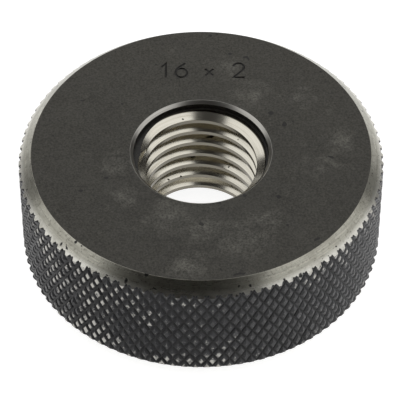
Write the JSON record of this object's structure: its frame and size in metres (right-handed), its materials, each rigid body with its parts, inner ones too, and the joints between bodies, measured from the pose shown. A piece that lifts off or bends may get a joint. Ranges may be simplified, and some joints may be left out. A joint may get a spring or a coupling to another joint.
{
  "type": "thread ring gauge",
  "caption": "Solid steel ring with a knurled rim, chamfered edges and a ground metric thread through its middle, for gauging screws.",
  "frame": {"origin": "centre of the face the ring rests on", "axes": "+Z along the thread axis towards the marked face, +X the direction the thread's place round the ring is counted from"},
  "size_m": [0.045, 0.045, 0.016],
  "materials": {
    "gauge_steel": "black oxide on faces and knurl, bare turned chamfers, bright ground thread"
  },
  "bodies": {
    "root": {"gauge_ring": "gauge_steel"}
  },
  "joints": []
}
